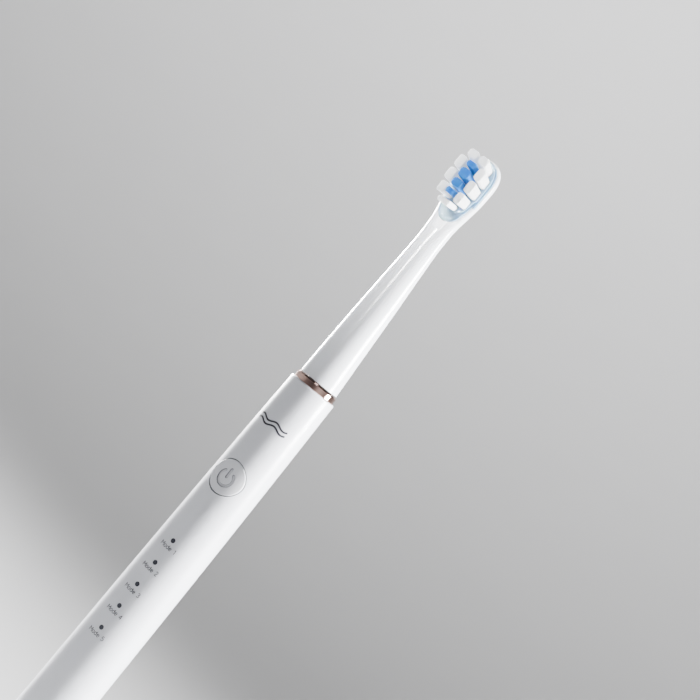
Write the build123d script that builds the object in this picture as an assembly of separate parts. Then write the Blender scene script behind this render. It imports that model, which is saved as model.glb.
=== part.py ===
"""Sonic electric toothbrush standing on its induction charger.

Frame: millimetres, +Z up, origin at the centre of the charger's underside. The
brush's long axis is the Z axis and its front (power button, bristles) faces -Y.
Every physical piece is written as one STEP file, parts/NODE.step.
"""

import os
from math import copysign, cos, radians, sin

from build123d import *

# ---------------------------------------------------------------- driving dimensions
# Charger
FOOT_DROP = 0.8  # how far the rubber foot ring stands below the base plate
CHARGER_R = 27.0
CHARGER_TOP = 15.0
SEAT_Z = 13.5  # floor of the round seat that the handle stands in
SEAT_R = 10.0
PEG_R = 4.0  # induction peg that enters the handle's socket
PEG_TOP = 22.6
CABLE_R = 1.6
CABLE_Z = 6.4

# Handle
REST_GAP = 0.05  # the handle's foot clears the seat's floor by this much
HANDLE_Z = SEAT_Z + REST_GAP
HANDLE_LENGTH = 158.6
HANDLE_TOP = HANDLE_Z + HANDLE_LENGTH
WALL = 1.1
# Outer radius of the handle at heights above its foot
HANDLE_PROFILE = [(1.4, 9.25), (35.0, 9.15), (63.0, 8.85), (99.0, 8.43), (132.0, 7.93), (158.1, 7.4)]
CAVITY_TOP = HANDLE_TOP - 3.0
COLLAR_R = 5.9  # spigot on the handle's top that carries the metal ring
COLLAR_TOP = HANDLE_TOP + 1.7
RING_R = 6.75
RING_TOP = HANDLE_TOP + 2.05
RING_MID = HANDLE_TOP + 1.0  # heights on the brush head are given above this

# Power button and mode lights, on the handle's front
BUTTON_Z = RING_MID - 34.4
BUTTON_R = 5.2
BUTTON_GAP = 0.28
GASKET_R = 5.95
BUTTON_FACE_R = 9.3  # the cap is flatter than the handle round it
BUTTON_SUNK = 0.1  # and lies this far below its surface in the middle
GROOVE_DEPTH = 0.32  # power symbol
GROOVE_WIDTH = 0.85
LIGHT_COUNT = 5
LIGHT_PITCH = 7.67
LIGHT_TOP_Z = RING_MID - 57.2
LIGHT_R = 0.7

# Circuit board in the handle
BOARD_Y = -3.0  # its front face
BOARD_T = 1.0
BOARD_X = 5.3
BOARD_Z0, BOARD_Z1 = 79.0, 143.4
SWITCH_T = 1.5  # the push switch on its front face
PLUNGER_Y = BOARD_Y - SWITCH_T - 0.6  # the tip of the switch's plunger

# Motor and drive shaft
MOTOR_R = 5.7
MOTOR_Z0, MOTOR_Z1 = 145.5, 168.0
SHAFT_R = 1.85
SHAFT_TOP = RING_TOP + 20.0
RUNNING = 0.05  # radial clearance of the shaft in its bushings
STATOR_Z0, STATOR_Z1 = MOTOR_Z0 + 4.5, MOTOR_Z0 + 18.0
LEAD_X, LEAD_Y = 1.6, -3.6  # where the motor's wires leave it

# Battery and receiver coil
CELL_R = 6.95
CELL_Z0, CELL_Z1 = 27.6, 75.9
SOCKET_R = PEG_R + 0.35

# Brush head. Height above the ring, half width, half depth, and how far forward of the
# shaft's axis the section's centre lies
NECK_PROFILE = [
    (1.35, 6.25, 6.2, 0.0),
    (14.4, 5.66, 5.55, 0.85),
    (28.4, 5.02, 4.65, 1.58),
    (41.4, 4.3, 3.7, 2.26),
    (52.2, 3.84, 2.92, 2.82),
    (56.9, 3.98, 2.6, 3.06),
    (60.5, 4.5, 2.38, 3.28),
    (63.9, 5.14, 2.2, 3.5),
    (67.6, 5.68, 2.06, 3.74),
    (71.5, 5.88, 1.98, 3.95),
]
NECK_STEPS = 24
DOME_STEPS = 6
HEAD_TIP = 79.0
ROUND, SQUARISH = 2.0, 3.2  # superellipse exponents of the neck and of the head
FULLNESS = 2.5  # superellipse exponent of the head's top, seen from the front
SQUARE_FROM = 49.5
HEAD_MID = NECK_PROFILE[-1][0]
HEAD_FRONT = 5.55  # the head is cut flat this far in front of the axis
INSERT_R = 3.2
INSERT_Z0, INSERT_Z1 = RING_MID + 4.0, RING_MID + 17.5

# Tuft plate, let into the head's front, and the tufts that stand on it
PLATE_FLOOR = -4.3
FLANGE_Y = -HEAD_FRONT
PLATE_Y = -6.15
HOLE_DEPTH = 1.3
# Outlines seen from the front: (half width, height above the ring) from the tongue's
# tip up to the widest place, then a full round top of the given height
FLANGE_OUTLINE = [(0, 57.8), (2.4, 58.8), (3.65, 61.2), (4.75, 65.8), (5.32, HEAD_MID)]
FLANGE_RISE = 6.95
PLATFORM_OUTLINE = [(0, 60.9), (2.3, 61.5), (3.6, 63.3), (4.45, 67.0), (4.8, HEAD_MID)]
PLATFORM_RISE = 6.5
WHITE_TIP, BLUE_TIP = -13.3, -14.1
# (x, height above the ring, width, length along the head) of each tuft at its root
SIDE_ROWS = [
    (2.75, 64.9, 2.0, 3.0),
    (3.2, 68.6, 2.25, 3.25),
    (3.2, 72.4, 2.25, 3.25),
    (1.7, 75.55, 2.7, 2.45),
]
WHITE_TUFTS = [(0.0, 62.3, 3.5, 1.7)] + [(s * x, z, w, h) for x, z, w, h in SIDE_ROWS for s in (-1, 1)]
BLUE_TUFTS = [(0.0, 65.1, 2.6, 1.8), (0.0, 67.6, 2.9, 2.2), (0.0, 70.5, 3.1, 2.7), (0.0, 73.2, 2.7, 1.7)]
TUFT_CORNER = 0.32  # corner radius as a share of the shorter side
TUFT_SPREAD = 1.17  # how much wider a tuft is at its tip
FAN_X, FAN_Z, FAN_MID = 0.12, 0.13, 68.4  # how far the tips lean away from the middle


# ---------------------------------------------------------------- helpers
def rod(radius, z0, z1, x=0.0, y=0.0):
    """A vertical cylinder between two heights."""
    return Pos(x, y, (z0 + z1) / 2) * Cylinder(radius, z1 - z0)


def ring(outer, inner, z0, z1, x=0.0, y=0.0):
    """A vertical tube between two heights."""
    return rod(outer, z0, z1, x, y) - rod(inner, z0 - 1, z1 + 1, x, y)


def block(x0, x1, y0, y1, z0, z1):
    """A box between two corners."""
    return Pos((x0 + x1) / 2, (y0 + y1) / 2, (z0 + z1) / 2) * Box(x1 - x0, y1 - y0, z1 - z0)


def front_rod(radius, x, z, y0, y1):
    """A cylinder along Y between y0 and y1."""
    return Pos(x, (y0 + y1) / 2, z) * Rot(90, 0, 0) * Cylinder(radius, abs(y1 - y0))


def lathe(*edges):
    """The closed outline of edges in the X-Z half plane, turned about Z."""
    return revolve(Plane.XZ * make_face(edges), Axis.Z)


def turned(*points):
    """A straight-sided outline of (radius, height) points, turned about Z."""
    return lathe(Polyline(*points, close=True))


def wire(points, radius, bends):
    """A round wire along straight runs joined by arcs."""
    path = FilletPolyline(*points, radius=bends)
    return sweep(Plane(origin=path @ 0, z_dir=path % 0) * Circle(radius), path=path)


def handle_curve(inset):
    """The handle's side as a smooth curve of (radius, height), inset from the outside."""
    return Spline(*[(r - inset, HANDLE_Z + h) for h, r in HANDLE_PROFILE])


def handle_radius(z):
    """The handle's outer radius at a height."""
    crossings = handle_curve(0).intersect(Line((0, z), (20, z)))
    return crossings[0].X


def handle_core(inset, z0, z1):
    """A solid that fills the handle's outside shape, inset, between two heights."""
    side = handle_curve(inset)
    low, high = side @ 0, side @ 1
    over, under = z1 + 10, z0 - 10
    ends = Polyline((high.X, high.Y), (high.X, over), (0, over), (0, under), (low.X, under), (low.X, low.Y))
    return lathe(side, ends) & block(-20, 20, -20, 20, z0, z1)


# ---------------------------------------------------------------- charger
def charger_shell():
    """Top housing with the seat and the hollow peg, and three screw bosses."""
    top = CHARGER_TOP
    outline = [
        Line((25.0, FOOT_DROP), (CHARGER_R, FOOT_DROP)),
        Line((CHARGER_R, FOOT_DROP), (CHARGER_R, 5.0)),
        Spline((CHARGER_R, 5.0), (25.4, 11.2), (20.0, top), tangents=[(0, 1), (-1, 0.12)]),
        Polyline((20.0, top), (SEAT_R + 1.2, top), (SEAT_R, top - 0.9), (SEAT_R, SEAT_Z)),
        Line((SEAT_R, SEAT_Z), (PEG_R + 0.2, SEAT_Z)),
        Line((PEG_R + 0.2, SEAT_Z), (PEG_R, SEAT_Z + 0.2)),
        Line((PEG_R, SEAT_Z + 0.2), (PEG_R, PEG_TOP - 1.6)),
        ThreePointArc((PEG_R, PEG_TOP - 1.6), (PEG_R - 0.47, PEG_TOP - 0.47), (PEG_R - 1.6, PEG_TOP)),
        Polyline((PEG_R - 1.6, PEG_TOP), (0, PEG_TOP), (0, PEG_TOP - 1.3), (2.6, PEG_TOP - 1.3), (2.6, 11.6)),
        Polyline((2.6, 11.6), (11.0, 11.6), (12.2, 13.0), (19.6, 13.0)),
        Spline((19.6, 13.0), (23.6, 10.1), (25.0, 5.0), tangents=[(1, -0.12), (0, -1)]),
        Line((25.0, 5.0), (25.0, FOOT_DROP)),
    ]
    shell = lathe(*outline)
    for x, y in screw_places():
        shell += rod(2.5, 2.8, 13.4, x, y)
        shell -= rod(1.05, 2.0, 9.5, x, y)
    return shell - front_rod(3.05, 0, CABLE_Z, 22.0, 30.0)


def screw_places():
    """The three screws under the charger: one in front, two at the back."""
    return [(15.5 * cos(radians(a)), 15.5 * sin(radians(a))) for a in (-90, 30, 150)]


def charger_base():
    """Bottom plate, with a groove for the foot ring and three countersunk holes."""
    plate = rod(24.85, FOOT_DROP, 2.6) - ring(23.05, 18.95, FOOT_DROP - 1, FOOT_DROP + 0.8)
    for x, y in screw_places():
        plate -= rod(1.3, 0, 4, x, y) + rod(2.2, 0, FOOT_DROP + 1.0, x, y)
    return plate


def charger_screws():
    """Three self-tapping screws with cross recesses."""
    screws = []
    for x, y in screw_places():
        head = rod(2.05, FOOT_DROP + 0.1, FOOT_DROP + 1.0, x, y)
        shank = rod(1.0, FOOT_DROP + 1.0, 9.0, x, y)
        slot = block(-1.2, 1.2, -0.25, 0.25, 0, FOOT_DROP + 0.6)
        cross = slot + Rot(0, 0, 90) * slot
        screws.append(head + shank - Pos(x, y, 0) * cross)
    return Compound(screws)


def charger_foot_ring():
    """Anti-slip rubber ring that the charger stands on."""
    return ring(23.0, 19.0, 0, FOOT_DROP + 0.75)


def charger_board():
    """Round circuit board under the coil with a tongue towards the cable."""
    return rod(12.3, 3.3, 4.3) + block(-6.5, 6.5, 8.0, 20.8, 3.3, 4.3)


def charger_parts():
    """What is soldered to the charger's board: two capacitors, driver chip, fuse and resistors."""
    capacitor = rod(2.4, 4.3, 10.0, -3.6, 15.4)
    film = block(1.6, 5.4, 12.4, 16.0, 4.3, 8.2)
    chip = block(1.2, 5.6, 17.2, 20.2, 4.3, 5.5)
    fuse = block(-6.0, -4.4, 18.6, 20.4, 4.3, 5.3)
    resistors = [block(-10.6, -9.0, y, y + 0.9, 4.3, 4.9) for y in (-2.4, 0.0, 2.4)]
    return Compound([capacitor, film, chip, fuse, *resistors])


def charger_bobbin():
    """Plastic spool for the primary coil."""
    return ring(3.3, 2.45, 4.5, 11.4) + ring(8.2, 2.45, 4.5, 5.3) + ring(8.2, 2.45, 10.6, 11.4)


def primary_coil():
    """Copper winding of the charger."""
    return ring(7.6, 3.35, 5.35, 10.55)


def charger_core():
    """Ferrite rod from the coil up into the peg."""
    return rod(2.35, 4.5, PEG_TOP - 1.5)


def cable_grommet():
    """Rubber outlet for the supply cable, flush with the housing's back."""
    body = front_rod(2.95, 0, CABLE_Z, 22.8, 26.8) + front_rod(3.7, 0, CABLE_Z, 21.9, 22.8)
    return body - front_rod(CABLE_R, 0, CABLE_Z, 20.0, 30.0)


# ---------------------------------------------------------------- handle, outside
def handle_shell():
    """One-piece tapered tube with the button's opening, the light holes and the collar."""
    low = HANDLE_PROFILE[0]
    side = handle_curve(0)
    start, end = side @ 0, side @ 1
    outline = [
        side,
        ThreePointArc((end.X, end.Y), (end.X - 0.12, HANDLE_TOP - 0.14), (end.X - 0.4, HANDLE_TOP)),
        Polyline(
            (end.X - 0.4, HANDLE_TOP),
            (COLLAR_R, HANDLE_TOP),
            (COLLAR_R, COLLAR_TOP),
            (0, COLLAR_TOP),
            (0, HANDLE_Z + 0.15),
            (start.X - 1.0, HANDLE_Z + 0.15),
        ),
        ThreePointArc(
            (start.X - 1.0, HANDLE_Z + 0.15), (start.X - 0.3, HANDLE_Z + 0.5), (low[1], HANDLE_Z + low[0])
        ),
    ]
    shell = lathe(*outline) - handle_core(WALL, 0, CAVITY_TOP) - rod(4.2, CAVITY_TOP - 1, COLLAR_TOP + 1)
    shell -= front_rod(BUTTON_R + BUTTON_GAP, 0, BUTTON_Z, -12, -3)
    for z in light_heights():
        shell -= front_rod(LIGHT_R + 0.04, 0, z, -12, -3)
    return shell


def light_heights():
    """Heights of the mode lights, from the top down."""
    return [LIGHT_TOP_Z - i * LIGHT_PITCH for i in range(LIGHT_COUNT)]


def trim_ring():
    """Polished metal ring on the handle's collar."""
    return turned(
        (COLLAR_R + 0.03, HANDLE_TOP + 0.02),
        (RING_R - 0.12, HANDLE_TOP + 0.02),
        (RING_R, HANDLE_TOP + 0.14),
        (RING_R, RING_TOP - 0.42),
        (RING_R - 0.42, RING_TOP),
        (5.0, RING_TOP),
        (5.0, COLLAR_TOP + 0.03),
        (COLLAR_R + 0.03, COLLAR_TOP + 0.03),
    )


def power_symbol():
    """The power sign's outline in the X-Z plane: an open ring and a bar, centred on 0, 0."""
    half = GROOVE_WIDTH / 2
    hoop = make_face(offset(CenterArc((0, -0.35), 2.3, 131, 278), amount=half))
    bar = Pos(0, 1.25) * SlotOverall(3.3, GROOVE_WIDTH, rotation=90)
    return Sketch() + [hoop, bar]


def power_button():
    """Flat-curved button cap with an engraved power sign and a stem to the switch."""
    z0, z1 = BUTTON_Z - 8, BUTTON_Z + 8
    face_y = BUTTON_FACE_R - handle_radius(BUTTON_Z) + BUTTON_SUNK
    face = rod(BUTTON_FACE_R, z0, z1, 0, face_y)
    cap = face & front_rod(BUTTON_R, 0, BUTTON_Z, -12, 0)
    cap = fillet(cap.faces().filter_by(GeomType.CYLINDER).sort_by(Axis.Y)[0].edges(), 0.2)
    cap -= handle_core(WALL - 0.42, z0, z1)
    symbol = extrude(Plane.XZ * Pos(0, BUTTON_Z) * power_symbol(), amount=12)
    cap -= symbol - rod(BUTTON_FACE_R - GROOVE_DEPTH, z0, z1, 0, face_y)
    stem = front_rod(1.3, 0, BUTTON_Z, -7.6, PLUNGER_Y - 0.03)
    return cap + stem


def button_gasket():
    """Silicone sheet that seals the button's opening from inside."""
    z0, z1 = BUTTON_Z - 8, BUTTON_Z + 8
    sheet = handle_core(WALL + 0.05, z0, z1) - handle_core(WALL + 0.6, z0, z1)
    sheet &= front_rod(GASKET_R, 0, BUTTON_Z, -12, -2.8)
    return sheet - front_rod(1.45, 0, BUTTON_Z, -12, -1)


def light_guide():
    """Clear strip behind the wall, with one pip through each light hole and one towards each lamp."""
    heights = light_heights()
    z0, z1 = heights[-1] - 2.0, heights[0] + 2.0
    strip = handle_core(WALL + 0.05, z0, z1) - handle_core(WALL + 0.85, z0, z1)
    guide = strip & block(-1.7, 1.7, -12, 0, z0, z1)
    face = handle_core(0.06, z0, z1)
    for z in heights:
        guide += (front_rod(LIGHT_R, 0, z, -12, -6.2) & face) + front_rod(0.6, 0, z, -6.6, BOARD_Y - 0.85)
    return guide


# ---------------------------------------------------------------- handle, inside
def inner_frame():
    """Moulded skeleton: battery cradle, board channel and motor cup in one piece."""
    z0 = CELL_Z0 - 1.0
    body = handle_core(WALL + 0.1, z0, MOTOR_Z0 + 4.5)
    body -= block(-20, 20, -20, BOARD_Y, z0 - 1, BOARD_Z0 - 1.5)
    body -= block(-20, 20, -20, BOARD_Y + BOARD_T + 0.05, BOARD_Z0 - 1.5, BOARD_Z1 + 0.4)
    body -= rod(CELL_R + 0.07, CELL_Z0 - 0.2, BOARD_Z0 - 1.8)
    body -= block(-4.3, 4.3, -3, 4.4, BOARD_Z0 + 0.5, BOARD_Z1 + 0.2)
    body -= rod(MOTOR_R + 0.04, MOTOR_Z0 - 0.05, MOTOR_Z0 + 6)
    body -= block(-2.4, 2.4, -4.8, -1.0, BOARD_Z1, MOTOR_Z0 + 1)
    body -= front_rod(GASKET_R + 0.1, 0, BUTTON_Z, -12, -5.0)
    for z in board_screw_heights():
        body += block(-4.4, 4.4, BOARD_Y + BOARD_T + 0.05, 4.5, z - 1.6, z + 1.6)
        body -= front_rod(0.8, 0, z, -3, 3.0)
    return body


def board_screw_heights():
    """Heights of the two screws that hold the circuit board to the frame."""
    return (LIGHT_TOP_Z - 3.5 * LIGHT_PITCH, BUTTON_Z - 8.6)


def main_board():
    """Circuit board behind the button and the lights."""
    board = block(-BOARD_X, BOARD_X, BOARD_Y, BOARD_Y + BOARD_T, BOARD_Z0, BOARD_Z1)
    for z in board_screw_heights():
        board -= front_rod(0.95, 0, z, -5, 0)
    return board


def board_screws():
    """Two small pan-head screws through the board."""
    return Compound(
        [
            front_rod(1.5, 0, z, BOARD_Y - 0.85, BOARD_Y) + front_rod(0.75, 0, z, BOARD_Y, 2.6)
            - block(-1.1, 1.1, -5, BOARD_Y - 0.45, z - 0.15, z + 0.15)
            for z in board_screw_heights()
        ]
    )


def tact_switch():
    """Body of the push switch behind the power button."""
    z = BUTTON_Z
    body = block(-2.1, 2.1, BOARD_Y - SWITCH_T, BOARD_Y, z - 2.1, z + 2.1)
    return body - front_rod(1.05, 0, z, -6, BOARD_Y - 0.55)


def switch_plunger():
    """The switch's plunger."""
    return front_rod(1.0, 0, BUTTON_Z, PLUNGER_Y, BOARD_Y - 1.0)


def mode_leds():
    """One small lamp behind each light pip."""
    return Compound([block(-0.8, 0.8, BOARD_Y - 0.7, BOARD_Y, z - 0.45, z + 0.45) for z in light_heights()])


def control_chip():
    """Microcontroller on the back of the board."""
    y = BOARD_Y + BOARD_T
    return block(-2.5, 2.5, y, y + 0.95, 101.0, 106.0)


def board_parts():
    """Charger chip, motor driver and passives on both faces of the board."""
    back = BOARD_Y + BOARD_T
    chips = [block(-1.5, 1.5, back, back + 0.8, 92.0, 95.0), block(-1.6, 1.6, back, back + 0.9, 133.0, 136.2)]
    small = [block(2.6, 3.6, BOARD_Y - 0.5, BOARD_Y, z, z + 0.55) for z in (88.0, 95.5, 103.5, 111.2, 118.8)]
    large = [block(-4.3, -2.7, BOARD_Y - 0.8, BOARD_Y, z, z + 0.9) for z in (92.0, 107.6, 122.6)]
    return Compound(chips + small + large)


def battery_cell():
    """Sleeved lithium cell with its positive cap."""
    can = fillet(rod(CELL_R, CELL_Z0, CELL_Z1).edges(), 0.5)
    return can + rod(2.6, CELL_Z1 - 0.5, CELL_Z1 + 0.9)


def battery_tabs():
    """Nickel strips from the cell's two ends to the board."""
    cap_z, t = CELL_Z1 + 0.9, 0.15
    plus = block(-2.6, -0.4, BOARD_Y - t, 1.2, cap_z, cap_z + t)
    plus += block(-2.6, -0.4, BOARD_Y - t, BOARD_Y, cap_z, BOARD_Z0 + 1.2)
    front = -(CELL_R + 0.2)
    minus = block(0.2, 1.6, front, 1.2, CELL_Z0 - t, CELL_Z0)
    minus += block(0.2, 1.6, front - t, front, CELL_Z0 - t, cap_z + 0.9)
    minus += block(0.2, 1.6, front - t, BOARD_Y, cap_z + 0.9 - t, cap_z + 0.9)
    minus += block(0.2, 1.6, BOARD_Y - t, BOARD_Y, cap_z + 0.9 - t, BOARD_Z0 + 1.2)
    return Compound([plus, minus])


def motor_case():
    """Deep-drawn steel can of the motor, open at the bottom."""
    can = fillet(rod(MOTOR_R, MOTOR_Z0, MOTOR_Z1).edges().group_by(Axis.Z)[-1], 0.5)
    return can - rod(5.3, MOTOR_Z0 - 1, MOTOR_Z1 - 0.8) - rod(2.6, MOTOR_Z1 - 2, MOTOR_Z1 + 1)


def motor_end_plate():
    """Plate that closes the motor's bottom and carries the rear bushing."""
    plate = ring(5.25, 2.6, MOTOR_Z0 + 0.1, MOTOR_Z0 + 1.2)
    for x in (-LEAD_X, LEAD_X):
        plate -= rod(0.5, MOTOR_Z0 - 1, MOTOR_Z0 + 2, x, LEAD_Y)
    return plate


def front_bushing():
    """Flanged sintered bushing in the motor's top."""
    bore, low = SHAFT_R + RUNNING, MOTOR_Z1 - 2.4
    return ring(2.58, bore, low, MOTOR_Z1 + 0.2) + ring(3.5, bore, low, MOTOR_Z1 - 0.85)


def rear_bushing():
    """Flanged sintered bushing in the end plate."""
    bore, high = SHAFT_R + RUNNING, MOTOR_Z0 + 2.8
    return ring(2.58, bore, MOTOR_Z0 + 0.15, high) + ring(3.5, bore, MOTOR_Z0 + 1.25, high)


def stator_core():
    """Laminated iron ring with two poles."""
    core = ring(5.25, 4.3, STATOR_Z0, STATOR_Z1)
    poles = block(-4.4, 4.4, -1.45, 1.45, STATOR_Z0, STATOR_Z1) - rod(3.15, STATOR_Z0 - 1, STATOR_Z1 + 1)
    return core + poles


def stator_coils():
    """The two copper windings, one round each pole."""
    coils = []
    for side in (-1, 1):
        outer = block(3.3, 4.25, -2.6, 2.6, STATOR_Z0 - 1.1, STATOR_Z1 + 1.1)
        inner = block(3.0, 4.6, -1.5, 1.5, STATOR_Z0 - 0.05, STATOR_Z1 + 0.05)
        coil = (outer - inner) & rod(4.25, STATOR_Z0 - 2, STATOR_Z1 + 2)
        coils.append(coil if side == 1 else Rot(0, 0, 180) * coil)
    return Compound(coils)


def motor_cushions():
    """Two rubber rings between the motor and the handle's wall."""
    rings = []
    for z in (MOTOR_Z0 + 7.0, MOTOR_Z1 - 3.0):
        rings.append(handle_core(WALL + 0.05, z, z + 1.6) - rod(MOTOR_R + 0.03, z - 1, z + 3))
    return Compound(rings)


def motor_leads():
    """Two insulated wires from the motor's end plate to the board."""
    leads = []
    for x in (-LEAD_X, LEAD_X):
        points = [(x, LEAD_Y, MOTOR_Z0 + 1.0), (x, LEAD_Y, MOTOR_Z0 - 1.3), (x, LEAD_Y + 0.2, BOARD_Z1 - 1.4)]
        leads.append(wire(points, 0.35, 0.8))
    return Compound(leads)


def shaft_seal():
    """Silicone boot round the drive shaft at the handle's top."""
    bore = SHAFT_R + RUNNING
    z = CAVITY_TOP + 0.25
    return turned(
        (bore, z + 0.7),
        (4.15, z + 0.7),
        (4.15, COLLAR_TOP - 0.5),
        (3.5, COLLAR_TOP - 0.1),
        (3.5, COLLAR_TOP + 0.3),
        (3.1, COLLAR_TOP + 0.6),
        (2.75, COLLAR_TOP + 0.6),
        (2.75, COLLAR_TOP + 1.7),
        (bore, COLLAR_TOP + 1.9),
    )


# ---------------------------------------------------------------- handle, foot
def end_cap():
    """Bottom cap with the blind socket for the charger's peg and an O-ring groove."""
    z = HANDLE_Z
    return turned(
        (SOCKET_R, z),
        (7.5, z),
        (7.9, z + 0.4),
        (7.9, z + 1.0),
        (7.05, z + 1.0),
        (7.05, z + 2.1),
        (7.9, z + 2.1),
        (7.9, z + 3.2),
        (5.1, z + 3.2),
        (5.1, PEG_TOP + 1.8),
        (0, PEG_TOP + 1.8),
        (0, PEG_TOP + 0.9),
        (SOCKET_R, PEG_TOP + 0.9),
    )


def end_cap_seal():
    """O-ring in the end cap's groove."""
    return Pos(0, 0, HANDLE_Z + 1.55) * Torus(7.52, 0.45)


def coil_bobbin():
    """Spool round the socket for the receiver coil."""
    z0, z1 = HANDLE_Z + 3.4, PEG_TOP + 2.6
    return ring(5.55, 5.15, z0, z1) + ring(7.4, 5.15, z0, z0 + 0.6) + ring(7.4, 5.15, z1 - 0.6, z1)


def charge_coil():
    """Receiver winding round the socket."""
    return ring(7.1, 5.6, HANDLE_Z + 4.05, PEG_TOP + 1.95)


def coil_shield():
    """Ferrite disc between the coil and the cell."""
    return rod(7.4, PEG_TOP + 2.7, PEG_TOP + 3.7)


def coil_leads():
    """Two enamelled wires from the receiver coil along the cell to the board."""
    leads = []
    for x in (-3.0, 3.0):
        points = [(x, -7.05, PEG_TOP + 1.0), (x, -6.62, BOARD_Z0 - 0.4), (x, BOARD_Y - 0.3, BOARD_Z0 + 2.4)]
        leads.append(wire(points, 0.22, 1.0))
    return Compound(leads)


# ---------------------------------------------------------------- rotor
def drive_shaft():
    """Steel shaft with a flat and a snap groove where the brush head grips it."""
    shaft = chamfer(rod(SHAFT_R, MOTOR_Z0 + 0.6, SHAFT_TOP).edges().group_by(Axis.Z)[-1], 0.45)
    shaft -= block(-3, 3, 1.35, 3, SHAFT_TOP - 12.0, SHAFT_TOP + 1)
    return shaft - ring(3, SHAFT_R - 0.2, SHAFT_TOP - 14.2, SHAFT_TOP - 13.2)


def rotor_core():
    """Steel sleeve on the shaft that carries the magnets."""
    return ring(2.2, SHAFT_R + 0.01, STATOR_Z0 + 0.5, STATOR_Z1 - 0.5)


def rotor_magnets():
    """Two arc magnets."""
    sleeve = ring(2.9, 2.22, STATOR_Z0 + 0.5, STATOR_Z1 - 0.5)
    gap = block(-0.35, 0.35, -4, 4, STATOR_Z0, STATOR_Z1)
    return sleeve - gap


# ---------------------------------------------------------------- brush head
def oval(height, half_x, half_y, forward, exponent):
    """A closed superellipse section of the brush head at a height above the ring."""
    corners = []
    for step in range(24):
        c, d = cos(radians(15 * step)), sin(radians(15 * step))
        x = copysign(half_x * abs(c) ** (2 / exponent), c)
        y = copysign(half_y * abs(d) ** (2 / exponent), d)
        corners.append((x, y - forward, RING_MID + height))
    return make_face(Spline(*corners, periodic=True))


def neck_size(height):
    """Half width, half depth and forward shift at a height, smooth between the profile's rows."""
    rows = NECK_PROFILE
    steps = [b[0] - a[0] for a, b in zip(rows, rows[1:])]
    i = max(k for k in range(len(steps)) if k == 0 or rows[k][0] <= height)
    t = (height - rows[i][0]) / steps[i]
    size = []
    for column in (1, 2, 3):
        rises = [(b[column] - a[column]) / step for a, b, step in zip(rows, rows[1:], steps)]
        slopes = [rises[0]]
        for low, high in zip(rises, rises[1:]):
            slopes.append(2 * low * high / (low + high) if low * high > 0 else 0.0)
        slopes.append(0.0)
        start, end = rows[i][column], rows[i + 1][column]
        tangent_in, tangent_out = slopes[i] * steps[i], slopes[i + 1] * steps[i]
        blend = t * t * (3 - 2 * t)
        bend = t * (1 - t) ** 2 * tangent_in - t * t * (1 - t) * tangent_out
        size.append(start + (end - start) * blend + bend)
    return size


def top_point(turn, half_width, rise):
    """How far across and how far up the head's top is, at a turn from its widest place."""
    share = 2 / FULLNESS
    return copysign(half_width * abs(cos(turn)) ** share, cos(turn)), rise * abs(sin(turn)) ** share


def neck_outside():
    """The brush head's outer shape: a bent tapering neck, then a domed head, flat in front."""
    foot = NECK_PROFILE[0][0]
    sections = []
    for i in range(NECK_STEPS + 1):
        height = foot + (HEAD_MID - foot) * i / NECK_STEPS
        share = max(0.0, height - SQUARE_FROM) / (HEAD_MID - SQUARE_FROM)
        sections.append(oval(height, *neck_size(height), ROUND + (SQUARISH - ROUND) * share))
    half_x, half_y, forward = neck_size(HEAD_MID)
    dome = []
    for i in range(DOME_STEPS):
        turn = radians(90 * i / DOME_STEPS)
        across, up = top_point(turn, half_x, HEAD_TIP - HEAD_MID)
        dome.append(oval(HEAD_MID + up, across, half_y * cos(turn) ** 0.7, forward, SQUARISH))
    dome.append(Vertex(0, -forward, RING_MID + HEAD_TIP))
    return (loft(sections) + loft(dome)) - block(-20, 20, -20, -HEAD_FRONT, RING_MID + 55, RING_MID + 90)


def head_outline(points, rise, grow=0.0):
    """A closed outline in the X-Z plane, mirrored about X = 0, with a full round top."""
    tip, *others = points
    wide, top = points[-1]
    start = (0, RING_MID + tip[1] - grow)
    side = Spline(start, *[(x + grow, RING_MID + z) for x, z in others], tangents=[(1, 0), (0, 1)])
    arch = [top_point(radians(15 * i), wide + grow, rise + grow) for i in range(13)]
    crown = Spline(*[(x, RING_MID + top + z) for x, z in arch], tangents=[(0, 1), (0, -1)])
    return make_face([side, crown, mirror(side, Plane.YZ)])


def brush_neck():
    """Hard white shell of the brush head, hollow below and pocketed for the tuft plate."""
    shell = neck_outside()
    shell -= rod(4.7, RING_MID, RING_MID + 3.6)
    shell -= rod(INSERT_R + 0.03, RING_MID, INSERT_Z1 + 0.1)
    shell -= rod(SHAFT_R + 0.35, RING_MID, SHAFT_TOP + 1.0)
    pocket = head_outline(FLANGE_OUTLINE, FLANGE_RISE, 0.05)
    return shell - extrude(Plane.XZ.offset(-PLATE_FLOOR) * pocket, amount=10)


def neck_insert():
    """Inner sleeve that fits the shaft, slotted for the spring clip."""
    sleeve = ring(INSERT_R, SHAFT_R + 0.03, INSERT_Z0, INSERT_Z1)
    sleeve -= block(-1.35, 1.35, 1.3, 2.45, SHAFT_TOP - 14.5, INSERT_Z1 + 1)
    return sleeve


def shaft_clip():
    """Spring-steel leaf that bears on the shaft's flat."""
    z0 = SHAFT_TOP - 11.5
    leaf = block(-1.2, 1.2, 1.95, 2.2, z0, INSERT_Z1 - 0.4)
    return leaf + block(-0.7, 0.7, 1.4, 2.0, z0 + 2.2, z0 + 3.2)


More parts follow.
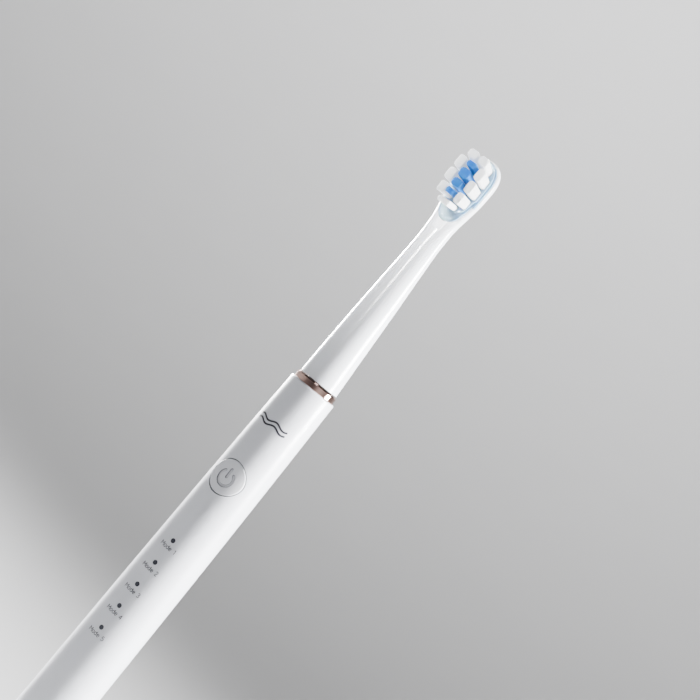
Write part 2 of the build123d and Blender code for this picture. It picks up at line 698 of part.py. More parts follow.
def tuft_plate():
    """Translucent plate with a raised platform and one blind hole for each tuft."""
    flange = Plane.XZ.offset(-PLATE_FLOOR) * head_outline(FLANGE_OUTLINE, FLANGE_RISE)
    platform = Plane.XZ.offset(-FLANGE_Y) * head_outline(PLATFORM_OUTLINE, PLATFORM_RISE)
    plate = extrude(flange, amount=PLATE_FLOOR - FLANGE_Y) + extrude(platform, amount=FLANGE_Y - PLATE_Y)
    for place in WHITE_TUFTS + BLUE_TUFTS:
        plate -= extrude(tuft_section(place, PLATE_Y + HOLE_DEPTH, 0.02), amount=5)
    return plate


def tuft_section(tuft, y, grow=0.0):
    """A tuft's rounded cross-section at its root, in the plane at y."""
    x, z, width, length = tuft
    corner = TUFT_CORNER * min(width, length)
    shape = RectangleRounded(width + 2 * grow, length + 2 * grow, corner)
    return Plane.XZ.offset(-y) * Pos(x, RING_MID + z) * shape


def tuft(place, tip_y):
    """One tuft, a straight root in the plate and a body that widens and fans out."""
    x, z, width, length = place
    root = extrude(tuft_section(place, PLATE_Y + HOLE_DEPTH), amount=HOLE_DEPTH)
    corner = TUFT_CORNER * min(width, length) * TUFT_SPREAD
    wide = RectangleRounded(width * TUFT_SPREAD, length * TUFT_SPREAD, corner)
    tip = Pos(x * (1 + FAN_X), RING_MID + z + FAN_Z * (z - FAN_MID)) * wide
    body = loft([tuft_section(place, PLATE_Y), Plane.XZ.offset(-tip_y) * tip])
    return root + body - anchor(place)


def anchor(place):
    """The brass staple that holds a tuft in its hole."""
    x, z, width, _ = place
    half = 0.5 * width - 0.25
    y = PLATE_Y + HOLE_DEPTH
    return block(x - half, x + half, y - 0.9, y, RING_MID + z - 0.12, RING_MID + z + 0.12)


def white_tufts():
    """The outer ring of white tufts."""
    return Compound([tuft(place, WHITE_TIP) for place in WHITE_TUFTS])


def blue_tufts():
    """The taller middle row of blue tufts."""
    return Compound([tuft(place, BLUE_TIP) for place in BLUE_TUFTS])


def tuft_anchors():
    """One staple in each tuft hole."""
    return Compound([anchor(place) for place in WHITE_TUFTS + BLUE_TUFTS])


# ---------------------------------------------------------------- export
NODES = [
    charger_shell, charger_base, charger_screws, charger_foot_ring, charger_board, charger_parts,
    charger_bobbin, primary_coil, charger_core, cable_grommet,
    handle_shell, trim_ring, button_gasket, light_guide, inner_frame, main_board, board_screws,
    tact_switch, mode_leds, control_chip, board_parts, battery_cell, battery_tabs,
    motor_case, motor_end_plate, front_bushing, rear_bushing, stator_core, stator_coils,
    motor_cushions, motor_leads, shaft_seal, end_cap, end_cap_seal, coil_bobbin, charge_coil,
    coil_shield, coil_leads,
    power_button, switch_plunger,
    drive_shaft, rotor_core, rotor_magnets,
    brush_neck, neck_insert, shaft_clip, tuft_plate, white_tufts, blue_tufts, tuft_anchors,
]

os.makedirs("parts", exist_ok=True)
for make in NODES:
    export_step(make(), f"parts/{make.__name__}.step")
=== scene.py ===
"""Looks of the electric toothbrush on its charger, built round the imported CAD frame.

Lengths are in metres unless a name ends in _MM or _mm. The brush stands on the Z axis
and its front, with the power button and the bristles, faces -Y.
"""

import math
import random

import bmesh
import bpy
from mathutils import Matrix, Vector


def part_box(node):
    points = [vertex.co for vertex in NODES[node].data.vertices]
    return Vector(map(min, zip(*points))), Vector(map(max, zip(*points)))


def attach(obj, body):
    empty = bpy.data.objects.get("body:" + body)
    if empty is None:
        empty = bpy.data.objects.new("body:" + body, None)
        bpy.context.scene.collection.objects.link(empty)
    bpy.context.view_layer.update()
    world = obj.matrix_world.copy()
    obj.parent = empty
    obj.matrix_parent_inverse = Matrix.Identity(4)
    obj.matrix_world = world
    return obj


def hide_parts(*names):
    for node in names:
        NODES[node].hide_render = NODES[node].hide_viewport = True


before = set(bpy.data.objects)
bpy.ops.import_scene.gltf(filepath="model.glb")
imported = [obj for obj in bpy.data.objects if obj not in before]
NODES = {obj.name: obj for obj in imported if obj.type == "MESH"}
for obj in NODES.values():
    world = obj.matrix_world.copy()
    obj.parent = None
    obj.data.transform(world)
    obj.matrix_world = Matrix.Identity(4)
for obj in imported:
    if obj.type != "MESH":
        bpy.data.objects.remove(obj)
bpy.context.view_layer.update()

MM = 0.001

# ---------------------------------------------------------------- camera and light
CAMERA_AZIMUTH = math.radians(24.0)
CAMERA_ROLL = math.radians(39.4)  # the brush leans this far to the right in the picture
CAMERA_DISTANCE = 0.528
CAMERA_LENS_MM = 97.7
CAMERA_SENSOR_MM = 36.0
AIM_ABOVE_RING = 0.0139  # what the camera looks at, above the ring's middle
AIM_RIGHT = 0.0009
LIGHT_AIM = (0, 0, 0.17)  # the middle of the brush


def make_camera():
    """A level camera in front and to the right of the brush, rolled so that the brush leans."""
    ring_low, ring_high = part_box("trim_ring")
    aim_z = (ring_low.z + ring_high.z) / 2 + AIM_ABOVE_RING
    right = Vector((math.cos(CAMERA_AZIMUTH), math.sin(CAMERA_AZIMUTH), 0))
    back = Vector((math.sin(CAMERA_AZIMUTH), -math.cos(CAMERA_AZIMUTH), 0))
    up = Vector((0, 0, 1))
    tilt_cos, tilt_sin = math.cos(CAMERA_ROLL), math.sin(CAMERA_ROLL)
    image_right = right * tilt_cos + up * tilt_sin
    image_up = up * tilt_cos - right * tilt_sin
    place = Vector((0, 0, aim_z)) + right * AIM_RIGHT + back * CAMERA_DISTANCE
    data = bpy.data.cameras.new("camera")
    data.lens = CAMERA_LENS_MM
    data.sensor_width = CAMERA_SENSOR_MM
    data.clip_start = 0.01
    data.clip_end = 30.0
    camera = bpy.data.objects.new("camera", data)
    turn = Matrix((image_right, image_up, back)).transposed()
    camera.matrix_world = Matrix.Translation(place) @ turn.to_4x4()
    bpy.context.scene.collection.objects.link(camera)
    bpy.context.scene.camera = camera


def area_light(name, place, target, size, power, spread_deg):
    """A square soft light of a power in watts that shines at a target."""
    data = bpy.data.lights.new(name, "AREA")
    data.shape = "SQUARE"
    data.size = size
    data.energy = power
    data.spread = math.radians(spread_deg)
    light = bpy.data.objects.new(name, data)
    light.location = place
    light.rotation_euler = (Vector(target) - Vector(place)).to_track_quat("-Z", "Y").to_euler()
    bpy.context.scene.collection.objects.link(light)


def make_lights():
    """A key from the right, a rim from the left, two weak fills, a wash on the backdrop and a sky."""
    bristles = (0, -0.008, 0.25)
    area_light("key", (1.0, 0.3, 0.33), LIGHT_AIM, 0.4, 11.5, 50.0)
    area_light("fill", (-0.45, -1.35, 0.5), LIGHT_AIM, 0.8, 0.4, 60.0)
    area_light("rim", (-0.85, 0.62, 0.34), LIGHT_AIM, 0.35, 8.0, 36.0)
    area_light("wash", (-0.7, 1.5, 2.6), (-1.0, 2.3, 0.2), 1.4, 50.0, 100.0)
    area_light("tips", (-0.35, -1.15, 0.4), bristles, 0.06, 0.065, 5.0)
    world = bpy.data.worlds.new("sky")
    world.use_nodes = True
    sky = world.node_tree.nodes["Background"]
    sky.inputs["Color"].default_value = (0.94, 0.96, 1.0, 1)
    sky.inputs["Strength"].default_value = 0.09
    bpy.context.scene.world = world


# ---------------------------------------------------------------- mesh helpers
def new_piece(name, points, faces, material, smooth=True):
    """A mesh object from points and faces."""
    mesh = bpy.data.meshes.new(name)
    mesh.from_pydata([tuple(p) for p in points], [], faces)
    mesh.validate()
    mesh.materials.append(material)
    for face in mesh.polygons:
        face.use_smooth = smooth
    piece = bpy.data.objects.new(name, mesh)
    bpy.context.scene.collection.objects.link(piece)
    return piece


def make_floor():
    """A pale floor that curves up all round into a plain wall."""
    flat, bend, top = 0.5, 2.0, 3.0
    steps, sides = 24, 96
    profile = [(0.0, 0.0), (0.3, 0.0), (flat, 0.0)]
    for i in range(1, steps + 1):
        a = math.radians(90 * i / steps)
        profile.append((flat + bend * math.sin(a), bend * (1 - math.cos(a))))
    profile.append((flat + bend, top))
    points = [(0.0, 0.0, 0.0)]
    for radius, height in profile[1:]:
        for k in range(sides):
            a = math.tau * k / sides
            points.append((radius * math.cos(a), radius * math.sin(a), height))
    faces = [(0, 1 + k, 1 + (k + 1) % sides) for k in range(sides)]
    for row in range(len(profile) - 2):
        base = 1 + row * sides
        for k in range(sides):
            k2 = (k + 1) % sides
            faces.append((base + k, base + sides + k, base + sides + k2, base + k2))
    floor = new_piece("floor", points, faces, floor_material())


# ---------------------------------------------------------------- material helpers
# The colour of the painted shade in recesses, multiplied into a surface's colour
RECESS_SHADE = (0.3, 0.3, 0.32)
BROAD_TO_FINE = 40  # a moulded surface's colour varies this much more slowly than its grain
TRACE_CELLS = 420.0  # circuit-board cells to the metre


def shader(name, **sockets):
    """A new material's node tree and its Principled shader, with the given socket values."""
    material = bpy.data.materials.new(name)
    material.use_nodes = True
    tree = material.node_tree
    surface = tree.nodes["Principled BSDF"]
    for socket, value in sockets.items():
        surface.inputs[socket.replace("_", " ")].default_value = value
    return material, tree, surface


def coordinates(tree, stretch=(1, 1, 1)):
    """Object coordinates, scaled along each axis."""
    source = tree.nodes.new("ShaderNodeTexCoord")
    mapping = tree.nodes.new("ShaderNodeMapping")
    mapping.inputs["Scale"].default_value = stretch
    tree.links.new(source.outputs["Object"], mapping.inputs["Vector"])
    return mapping.outputs["Vector"]


def noise(tree, size_mm, detail=3.0, stretch=(1, 1, 1)):
    """A noise value with features of about this size."""
    texture = tree.nodes.new("ShaderNodeTexNoise")
    texture.inputs["Scale"].default_value = 1.0 / (size_mm * MM)
    texture.inputs["Detail"].default_value = detail
    tree.links.new(coordinates(tree, stretch), texture.inputs["Vector"])
    return texture.outputs["Fac"]


def bands(tree, axis, pitch_mm):
    """Evenly spaced bands along X, Y or Z."""
    texture = tree.nodes.new("ShaderNodeTexWave")
    texture.wave_type = "BANDS"
    texture.bands_direction = axis
    texture.wave_profile = "SIN"
    texture.inputs["Scale"].default_value = math.pi / 10 / (pitch_mm * MM)
    texture.inputs["Distortion"].default_value = 0.0
    tree.links.new(coordinates(tree), texture.inputs["Vector"])
    return texture.outputs["Fac"]


def ramp(tree, value, *stops):
    """Colours blended by a value; each stop is (position, colour)."""
    node = tree.nodes.new("ShaderNodeValToRGB")
    marks = node.color_ramp.elements
    while len(marks) < len(stops):
        marks.new(0.5)
    for mark, (position, colour) in zip(marks, stops):
        mark.position = position
        mark.color = (*colour, 1)
    tree.links.new(value, node.inputs["Fac"])
    return node.outputs["Color"]


def spread(tree, value, low, high):
    """A value from 0..1 remapped to low..high."""
    node = tree.nodes.new("ShaderNodeMapRange")
    node.inputs["To Min"].default_value = low
    node.inputs["To Max"].default_value = high
    tree.links.new(value, node.inputs["Value"])
    return node.outputs["Result"]


def bump(tree, surface, value, depth_mm):
    """Relief of the given depth."""
    node = tree.nodes.new("ShaderNodeBump")
    node.inputs["Distance"].default_value = depth_mm * MM
    node.inputs["Strength"].default_value = 1.0
    tree.links.new(value, node.inputs["Height"])
    tree.links.new(node.outputs["Normal"], surface.inputs["Normal"])


def tint(colour, factor):
    """A colour made lighter or darker."""
    return tuple(min(1.0, c * factor) for c in colour)


def painted_recess_shade(tree, shades, reach_mm):
    """Painted shade: colours darkened where the piece's own surface closes in, as in an engraved line."""
    shelter = tree.nodes.new("ShaderNodeAmbientOcclusion")
    shelter.only_local = True
    shelter.samples = 8
    shelter.inputs["Distance"].default_value = reach_mm * MM
    depth = ramp(tree, shelter.outputs["AO"], (0.45, RECESS_SHADE), (0.95, (1, 1, 1)))
    blend = tree.nodes.new("ShaderNodeMix")
    blend.data_type = "RGBA"
    blend.blend_type = "MULTIPLY"
    blend.inputs["Factor"].default_value = 1.0
    colours = [socket for socket in blend.inputs if socket.type == "RGBA"]
    tree.links.new(shades, colours[0])
    tree.links.new(depth, colours[1])
    return next(socket for socket in blend.outputs if socket.type == "RGBA")


def textured(name, colour, roughness, grain_mm=0.4, relief_mm=0.004, vary=0.03, painted_shade_reach_mm=0.0, **sockets):
    """A moulded or painted surface: slight colour change, uneven gloss, a fine grain and, if a reach is
    given, painted shade in its recesses.
    """
    material, tree, surface = shader(name, **sockets)
    broad = noise(tree, grain_mm * BROAD_TO_FINE)
    fine = noise(tree, grain_mm, 5.0)
    shades = ramp(tree, broad, (0.3, tint(colour, 1 - vary)), (0.7, tint(colour, 1 + vary)))
    # Painted shade darkens the colour in the surface's recesses
    if painted_shade_reach_mm:
        shades = painted_recess_shade(tree, shades, painted_shade_reach_mm)
    tree.links.new(shades, surface.inputs["Base Color"])
    tree.links.new(spread(tree, fine, roughness * 0.88, roughness * 1.12), surface.inputs["Roughness"])
    bump(tree, surface, fine, relief_mm)
    return material


def metal(name, colour, roughness, stretch=(1, 1, 1), relief_mm=0.002):
    """Bare metal, brushed along the axis that is stretched."""
    material, tree, surface = shader(name, Metallic=1.0)
    streaks = noise(tree, 0.25, 4.0, stretch)
    shades = ramp(tree, streaks, (0.3, tint(colour, 0.94)), (0.7, tint(colour, 1.05)))
    tree.links.new(shades, surface.inputs["Base Color"])
    tree.links.new(spread(tree, streaks, roughness * 0.75, roughness * 1.25), surface.inputs["Roughness"])
    bump(tree, surface, streaks, relief_mm)
    return material


def wound(name, colour, axis, wire_mm):
    """Enamelled wire lying side by side along an axis, with painted shade between the turns and a painted
    highlight along each.
    """
    material, tree, surface = shader(name, Metallic=0.85, Roughness=0.3)
    turns = bands(tree, axis, wire_mm)
    # Painted shade in the grooves between turns and a painted highlight on their crowns
    shades = ramp(tree, turns, (0.0, tint(colour, 0.35)), (0.45, colour), (1.0, tint(colour, 1.2)))
    tree.links.new(shades, surface.inputs["Base Color"])
    bump(tree, surface, turns, wire_mm * 0.4)
    return material


def circuit(name, colour):
    """Solder mask, paler along the edges of its cells, where copper lies under it."""
    material, tree, surface = shader(name, Roughness=0.32)
    cells = tree.nodes.new("ShaderNodeTexVoronoi")
    cells.feature = "DISTANCE_TO_EDGE"
    cells.inputs["Scale"].default_value = TRACE_CELLS
    tree.links.new(coordinates(tree), cells.inputs["Vector"])
    edge = cells.outputs["Distance"]
    shades = ramp(tree, edge, (0.05, tint(colour, 1.7)), (0.1, colour))
    tree.links.new(shades, surface.inputs["Base Color"])
    bump(tree, surface, edge, 0.02)
    return material


def floor_material():
    """Pale, matt studio floor."""
    return textured("studio_floor", (0.50, 0.50, 0.505), 0.75, grain_mm=2.0, relief_mm=0.02, vary=0.01)


# ---------------------------------------------------------------- materials
PEARL = (0.74, 0.755, 0.80)
WHITE = (0.80, 0.82, 0.86)
STEEL = (0.62, 0.63, 0.65)
COPPER = (0.72, 0.33, 0.14)
DARK = (0.035, 0.035, 0.04)


def make_materials():
    """One material for each kind of surface."""
    long_grain = (1, 1, 0.03)
    turned_grain = (0.03, 0.03, 1)
    return {
        "pearl": textured(
            "pearl_plastic", PEARL, 0.33, 0.12, 0.0015, 0.015,
            Coat_Weight=0.35, Coat_Roughness=0.12, Subsurface_Weight=0.05,
            Subsurface_Radius=(0.001, 0.001, 0.001), Subsurface_Scale=1.0,
        ),
        "head": textured(
            "head_plastic", WHITE, 0.2, 0.3, 0.001, 0.012,
            Subsurface_Weight=0.15, Subsurface_Radius=(0.0012, 0.0013, 0.0015), Subsurface_Scale=1.0,
        ),
        # The power button gets painted shade in its engraved sign and other recesses
        "soft": textured("soft_touch", (0.72, 0.73, 0.77), 0.45, 0.08, 0.004, 0.02, 0.6, Sheen_Weight=0.15),
        "rose": metal("rose_gold", (0.70, 0.47, 0.40), 0.1, relief_mm=0.0003),
        "seal": textured("seal_silicone", (0.07, 0.07, 0.075), 0.5, 0.2, 0.004),
        "foot": textured("foot_rubber", (0.05, 0.05, 0.055), 0.7, 0.2, 0.01, 0.1),
        "grommet": textured("grommet_rubber", (0.70, 0.70, 0.71), 0.6, 0.15, 0.006),
        "lens": textured(
            "smoked_lens", (0.05, 0.05, 0.065), 0.12, 0.3, 0.001, 0.1, Coat_Weight=0.6, Coat_Roughness=0.05
        ),
        "plate": textured(
            "milky_blue", (0.36, 0.62, 0.98), 0.3, 0.3, 0.0005, 0.01,
            Transmission_Weight=0.35, IOR=1.49, Subsurface_Weight=0.4,
            Subsurface_Radius=(0.0008, 0.0012, 0.002), Subsurface_Scale=1.0,
        ),
        # The white filaments glow faintly: painted light standing in for the light they scatter to their
        # tips
        "white_filament": textured(
            "white_filament", (0.95, 0.96, 0.97), 0.45, 0.3, 0.0, 0.01,
            Subsurface_Weight=0.5, Subsurface_Radius=(0.0006, 0.0006, 0.0006), Subsurface_Scale=1.0,
            Emission_Color=(0.94, 0.97, 1.0, 1), Emission_Strength=0.28,
        ),
        "blue_filament": textured(
            "blue_filament", (0.001, 0.21, 0.72), 0.5, 0.3, 0.0, 0.08,
            Subsurface_Weight=0.35, Subsurface_Radius=(0.0003, 0.0005, 0.0009), Subsurface_Scale=1.0,
        ),
        "ink": textured("print_ink", (0.03, 0.028, 0.04), 0.45, 0.1, 0.001, 0.1),
        "brass": metal("brass_wire", (0.83, 0.62, 0.25), 0.25),
        "skeleton": textured("skeleton_plastic", (0.06, 0.065, 0.075), 0.45, 0.3, 0.006, 0.08),
        "nylon": textured("nylon_natural", (0.74, 0.72, 0.64), 0.42, 0.3, 0.004, 0.04),
        "board": circuit("circuit_board", (0.012, 0.16, 0.06)),
        "epoxy": textured("moulded_epoxy", DARK, 0.5, 0.1, 0.004, 0.15),
        "lamp": textured("lamp_package", (0.90, 0.86, 0.62), 0.25, 0.3, 0.001),
        "copper": wound("copper_winding", COPPER, "Z", 0.22),
        "lead": textured("lead_insulation", (0.45, 0.03, 0.03), 0.4, 0.3, 0.002),
        "enamel": metal("enamelled_wire", COPPER, 0.3),
        "sleeve": textured("cell_sleeve", (0.03, 0.14, 0.38), 0.22, 0.5, 0.004, 0.06, Coat_Weight=0.5),
        "nickel": metal("nickel_strip", (0.70, 0.68, 0.62), 0.28, turned_grain),
        "steel": metal("ground_steel", STEEL, 0.22, turned_grain),
        "can": metal("drawn_steel", (0.58, 0.59, 0.60), 0.3, long_grain),
        "bronze": metal("sintered_bronze", (0.55, 0.36, 0.17), 0.42, relief_mm=0.01),
        "iron": wound("laminated_iron", (0.30, 0.30, 0.32), "Z", 0.35),
        "magnet": metal("magnet_plating", (0.60, 0.60, 0.62), 0.15),
        "ferrite": textured("ferrite", (0.03, 0.03, 0.033), 0.55, 0.08, 0.01, 0.2),
    }


NODE_MATERIALS = {
    "pearl": ["charger_shell", "charger_base", "handle_shell", "end_cap"],
    "head": ["brush_neck"],
    "soft": ["power_button"],
    "rose": ["trim_ring"],
    "seal": ["button_gasket", "motor_cushions", "shaft_seal"],
    "foot": ["charger_foot_ring", "end_cap_seal"],
    "grommet": ["cable_grommet"],
    "lens": ["light_guide"],
    "plate": ["tuft_plate"],
    "brass": ["tuft_anchors"],
    "skeleton": ["inner_frame", "motor_end_plate"],
    "nylon": ["charger_bobbin", "coil_bobbin", "neck_insert"],
    "board": ["charger_board", "main_board"],
    "epoxy": ["charger_parts", "tact_switch", "control_chip", "board_parts", "switch_plunger"],
    "lamp": ["mode_leds"],
    "copper": ["primary_coil", "charge_coil", "stator_coils"],
    "lead": ["motor_leads"],
    "enamel": ["coil_leads"],
    "sleeve": ["battery_cell"],
    "nickel": ["battery_tabs", "shaft_clip"],
    "steel": ["charger_screws", "board_screws", "drive_shaft"],
    "can": ["motor_case"],
    "bronze": ["front_bushing", "rear_bushing"],
    "iron": ["stator_core", "rotor_core"],
    "magnet": ["rotor_magnets"],
    "ferrite": ["charger_core", "coil_shield"],
}


def dress_nodes(materials):
    """Gives every CAD node that stays its material."""
    for kind, names in NODE_MATERIALS.items():
        for name in names:
            for place in NODES[name].material_slots:
                place.material = materials[kind]


# ---------------------------------------------------------------- bristles
FILAMENT_R = 0.09 * MM
FILAMENT_PITCH = 0.19 * MM
FILAMENT_SIDES = 6
# A filament's rings: how far along it, and how wide against its full width
FILAMENT_RINGS = ((0.0, 1.0), (0.35, 1.0), (0.7, 1.0), (0.985, 1.0), (0.996, 0.7))
FILAMENT_BOW = 0.03 * MM
TUFT_CORNER = 0.32  # corner radius as a share of a tuft's shorter side
TUFT_ROOT_DEPTH = 0.3 * MM  # how far a filament starts below the plate's face
TIP_CROWN = 0.12 * MM  # how much lower a tuft is at its rim than in its middle
TIP_UNEVEN = 0.10 * MM
TIP_STRAY = 0.02 * MM
SECTION_REACH = 0.05 * MM


def islands(node):
    """The separate solids of a CAD node, each as a list of its points."""
    shape = bmesh.new()
    shape.from_mesh(NODES[node].data)
    bmesh.ops.remove_doubles(shape, verts=shape.verts, dist=1e-7)
    left = set(shape.verts)
    groups = []
    while left:
        queue = [left.pop()]
        group = []
        while queue:
            vert = queue.pop()
            group.append(vert.co.copy())
            for edge in vert.link_edges:
                other = edge.other_vert(vert)
                if other in left:
                    left.remove(other)
                    queue.append(other)
        groups.append(group)
    shape.free()
    return sorted(groups, key=lambda g: (round(min(p.z for p in g), 5), min(p.x for p in g)))


def section_box(points, y):
    """Centre and half sizes, along X and Z, of the points beside a Y position."""
    near = [p for p in points if abs(p.y - y) < SECTION_REACH]
    xs, zs = [p.x for p in near], [p.z for p in near]
    centre = ((min(xs) + max(xs)) / 2, (min(zs) + max(zs)) / 2)
    return centre, ((max(xs) - min(xs)) / 2, (max(zs) - min(zs)) / 2)


def rounded(u, v, half_u, half_v, corner):
    """Whether a point lies in a rectangle with round corners."""
    du, dv = abs(u) - (half_u - corner), abs(v) - (half_v - corner)
    if du <= 0 or dv <= 0:
        return abs(u) <= half_u and abs(v) <= half_v
    return math.hypot(du, dv) <= corner


def packed(half_u, half_v, corner):
    """Filament places in a tuft's section, in a close hexagonal packing."""
    places = []
    row_step = FILAMENT_PITCH * math.sqrt(3) / 2
    rows = int(half_v / row_step) + 1
    columns = int(half_u / FILAMENT_PITCH) + 1
    for j in range(-rows, rows + 1):
        for i in range(-columns, columns + 1):
            u = (i + 0.5 * (j % 2)) * FILAMENT_PITCH
            v = j * row_step
            if rounded(u, v, half_u - FILAMENT_R, half_v - FILAMENT_R, corner):
                places.append((u, v))
    return places


def filament(points, faces, root, tip, rng):
    """Adds one round-ended filament, slightly bowed, from root to tip."""
    axis = (tip - root).normalized()
    side = axis.orthogonal().normalized()
    other = axis.cross(side)
    bow = (side * rng.uniform(-1, 1) + other * rng.uniform(-1, 1)) * FILAMENT_BOW
    start = len(points)
    for share, scale in FILAMENT_RINGS:
        centre = root.lerp(tip, share) + bow * math.sin(math.pi * share)
        for k in range(FILAMENT_SIDES):
            a = math.tau * k / FILAMENT_SIDES
            points.append(centre + (side * math.cos(a) + other * math.sin(a)) * FILAMENT_R * scale)
    for ring in range(len(FILAMENT_RINGS) - 1):
        low, high = start + ring * FILAMENT_SIDES, start + (ring + 1) * FILAMENT_SIDES
        for k in range(FILAMENT_SIDES):
            k2 = (k + 1) % FILAMENT_SIDES
            faces.append((low + k, low + k2, high + k2, high + k))
    last = start + (len(FILAMENT_RINGS) - 1) * FILAMENT_SIDES
    points.append(tip.copy())
    for k in range(FILAMENT_SIDES):
        faces.append((last + k, last + (k + 1) % FILAMENT_SIDES, len(points) - 1))
    faces.append(tuple(start + k for k in reversed(range(FILAMENT_SIDES))))


def make_tufts(name, node, material, seed):
    """Bundles of filaments in place of a CAD node of tufts."""
    rng = random.Random(seed)
    root_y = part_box("tuft_plate")[0].y
    points, faces = [], []
    for solid in islands(node):
        tip_y = min(p.y for p in solid)
        (root_x, root_z), (half_x, half_z) = section_box(solid, root_y)
        (tip_x, tip_z), (tip_half_x, tip_half_z) = section_box(solid, tip_y)
        corner = TUFT_CORNER * 2 * min(half_x, half_z)
        for u, v in packed(half_x, half_z, corner):
            _, _, stray_x, stray_z = [rng.uniform(-TIP_STRAY, TIP_STRAY) for _ in range(4)]
            root = Vector((root_x + u, root_y + TUFT_ROOT_DEPTH, root_z + v))
            edge = (u / half_x) ** 2 + (v / half_z) ** 2
            end_x = tip_x + u * tip_half_x / half_x + stray_x
            end_y = tip_y + TIP_CROWN * edge + rng.uniform(0, TIP_UNEVEN)
            end_z = tip_z + v * tip_half_z / half_z + stray_z
            filament(points, faces, root, Vector((end_x, end_y, end_z)), rng)
    piece = new_piece(name, points, faces, material)
    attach(piece, "brush_head")
    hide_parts(node)


# ---------------------------------------------------------------- printing on the handle
PRINT_LIFT = 0.01 * MM
PRINT_THICK = 0.02 * MM
PRINT_STEP = 0.3 * MM  # the longest straight piece of a stroke
MARK_ABOVE_BUTTON = 19.1 * MM  # the wave mark's middle above the button's
WAVE_HALF_LENGTH = 5.5 * MM
WAVE_HEIGHT = 0.42 * MM
WAVE_APART = 0.62 * MM  # each wave's distance from the mark's middle
WAVE_STROKE = 0.27 * MM  # half a stroke's width
LABEL_BELOW_LIGHT = 2.15 * MM
LABEL_STROKE = 0.085 * MM
LETTER_HEIGHT = 1.25 * MM
LETTER_GAP = 0.22  # the letters' sizes below are shares of their height
LETTER_WIDTHS = {"M": 0.8, " ": 0.3, "1": 0.3}
USUAL_LETTER_WIDTH = 0.56


def bowl(middle, half_width, first, last):
    """The round stroke of a small letter, from one sixteenth of a turn to another."""
    turns = [a * math.pi / 8 for a in range(first, last + 1)]
    return [(middle + half_width * math.cos(a), 0.33 + 0.33 * math.sin(a)) for a in turns]


# Each letter as strokes of (across, up) points
LETTERS = {
    "M": [[(0, 0), (0, 1), (0.4, 0.35), (0.8, 1), (0.8, 0)]],
    "o": [bowl(0.28, 0.28, 0, 16)],
    "d": [bowl(0.28, 0.28, 0, 16), [(0.56, 0), (0.56, 1)]],
    "e": [[(0.02, 0.35), (0.56, 0.35)] + bowl(0.29, 0.27, 1, 14)],
    "1": [[(0.05, 0.8), (0.3, 1), (0.3, 0)]],
    "2": [[(0.02, 0.78), (0.12, 0.95), (0.3, 1), (0.5, 0.9), (0.53, 0.7), (0.4, 0.45), (0, 0), (0.56, 0)]],
    "3": [
        [(0.02, 0.9), (0.25, 1), (0.5, 0.88), (0.5, 0.66), (0.25, 0.54)]
        + [(0.54, 0.4), (0.52, 0.12), (0.25, 0), (0, 0.1)]
    ],
    "4": [[(0.45, 0), (0.45, 1), (0, 0.28), (0.6, 0.28)]],
    "5": [[(0.5, 1), (0.08, 1), (0.04, 0.55), (0.3, 0.62), (0.54, 0.45), (0.52, 0.14), (0.26, 0), (0, 0.1)]],
}


class Handle:
    """The handle's outside, read from the frame: its radius at any height."""

    def __init__(self):
        low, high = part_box("handle_shell")
        steps = 80
        step = (high.z - low.z) / steps
        reach = [0.0] * (steps + 1)
        for vert in NODES["handle_shell"].data.vertices:
            k = round((vert.co.z - low.z) / step)
            reach[k] = max(reach[k], math.hypot(vert.co.x, vert.co.y))
        self.known = [(low.z + k * step, r) for k, r in enumerate(reach) if r > 0]

    def radius(self, z):
        """The outer radius at a height."""
        for (z0, r0), (z1, r1) in zip(self.known, self.known[1:]):
            if z0 <= z <= z1:
                return r0 + (r1 - r0) * (z - z0) / (z1 - z0)
        return self.known[-1][1]

    def point(self, x, z, lift):
        """A point over the front of the handle, x along its girth."""
        radius = self.radius(z)
        turn = x / radius
        return Vector(((radius + lift) * math.sin(turn), -(radius + lift) * math.cos(turn), z))


def sampled(points):
    """The points with more between them, so that no two neighbours are far apart."""
    out = [points[0]]
    for (x0, z0), (x1, z1) in zip(points, points[1:]):
        count = max(1, math.ceil(math.hypot(x1 - x0, z1 - z0) / PRINT_STEP))
        out += [(x0 + (x1 - x0) * i / count, z0 + (z1 - z0) * i / count) for i in range(1, count + 1)]
    return out


def add_stroke(points, faces, handle, line, half_width):
    """A thin printed stroke with square ends, laid on the handle along a line of (x, z)."""
    line = sampled(line)
    closed = math.dist(line[0], line[-1]) < 1e-9
    start = len(points)
    for i, (x, z) in enumerate(line):
        before = line[i - 1] if i else (line[-2] if closed else line[0])
        after = line[i + 1] if i + 1 < len(line) else (line[1] if closed else line[-1])
        along_x, along_z = after[0] - before[0], after[1] - before[1]
        size = math.hypot(along_x, along_z) or 1.0
        side_x, side_z = -along_z / size * half_width, along_x / size * half_width
        for sign in (1, -1):
            for lift in (PRINT_LIFT, PRINT_LIFT + PRINT_THICK):
                points.append(handle.point(x + sign * side_x, z + sign * side_z, lift))
    for i in range(len(line) - 1):
        a, b = start + 4 * i, start + 4 * (i + 1)
        faces += [(a + 1, a + 3, b + 3, b + 1), (a, b, b + 2, a + 2)]
        faces += [(a, a + 1, b + 1, b), (a + 2, b + 2, b + 3, a + 3)]
    end = start + 4 * (len(line) - 1)
    faces += [(start, start + 2, start + 3, start + 1), (end, end + 1, end + 3, end + 2)]


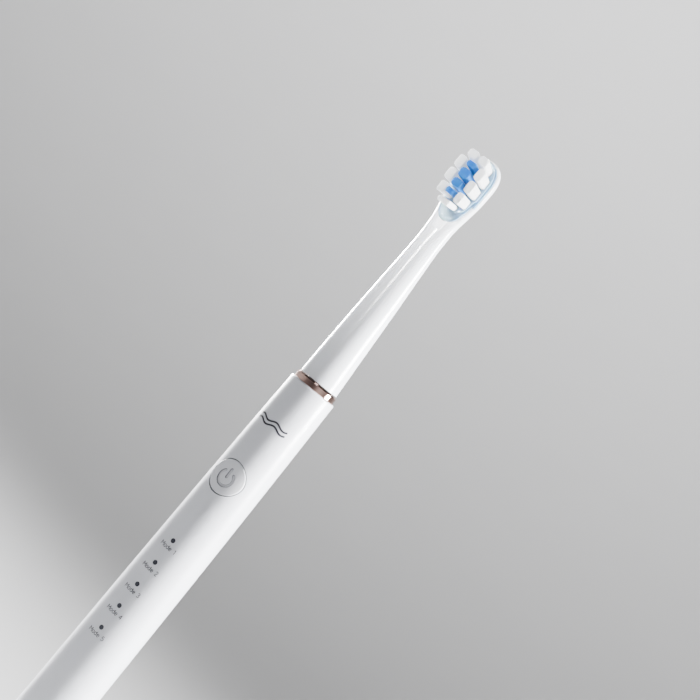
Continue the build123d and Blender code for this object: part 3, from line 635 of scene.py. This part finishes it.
def make_print(name, handle, lines, half_width, material):
    """One printed piece made of strokes."""
    points, faces = [], []
    for line in lines:
        add_stroke(points, faces, handle, line, half_width)
    piece = new_piece(name, points, faces, material, smooth=False)
    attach(piece, "handle")


def make_wave_mark(handle, material):
    """A plain mark of two wavy strokes above the power button."""
    low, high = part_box("power_button")
    middle = (low.z + high.z) / 2 + MARK_ABOVE_BUTTON
    steps = 22
    lines = []
    for offset in (-WAVE_APART, WAVE_APART):
        shares = [i / steps for i in range(-steps, steps + 1)]
        lines.append([
            (share * WAVE_HALF_LENGTH, middle + offset + WAVE_HEIGHT * math.sin(share * math.tau))
            for share in shares
        ])
    make_print("wave_mark", handle, lines, WAVE_STROKE, material)


def letter_width(letter):
    """A letter's width as a share of its height."""
    return LETTER_WIDTHS.get(letter, USUAL_LETTER_WIDTH)


def label_lines(text, z_middle):
    """The strokes of a short word on the handle's middle line, centred on a height."""
    width = sum(letter_width(c) for c in text) + LETTER_GAP * (len(text) - 1)
    x = -width * LETTER_HEIGHT / 2
    lines = []
    for c in text:
        for stroke in LETTERS.get(c, []):
            lines.append([(x + u * LETTER_HEIGHT, z_middle + (v - 0.5) * LETTER_HEIGHT) for u, v in stroke])
        x += (letter_width(c) + LETTER_GAP) * LETTER_HEIGHT
    return lines


def make_labels(handle, material):
    """A numbered label under each mode light."""
    lamps = [sum(p.z for p in lamp) / len(lamp) for lamp in islands("mode_leds")]
    for number, z in enumerate(sorted(lamps, reverse=True), 1):
        lines = label_lines(f"Mode {number}", z - LABEL_BELOW_LIGHT)
        make_print(f"mode_label_{number}", handle, lines, LABEL_STROKE, material)


make_camera()
make_lights()
make_floor()
MATERIALS = make_materials()
dress_nodes(MATERIALS)
make_tufts("white_bristles", "white_tufts", MATERIALS["white_filament"], 11)
make_tufts("blue_bristles", "blue_tufts", MATERIALS["blue_filament"], 12)
HANDLE = Handle()
make_wave_mark(HANDLE, MATERIALS["ink"])
make_labels(HANDLE, MATERIALS["ink"])
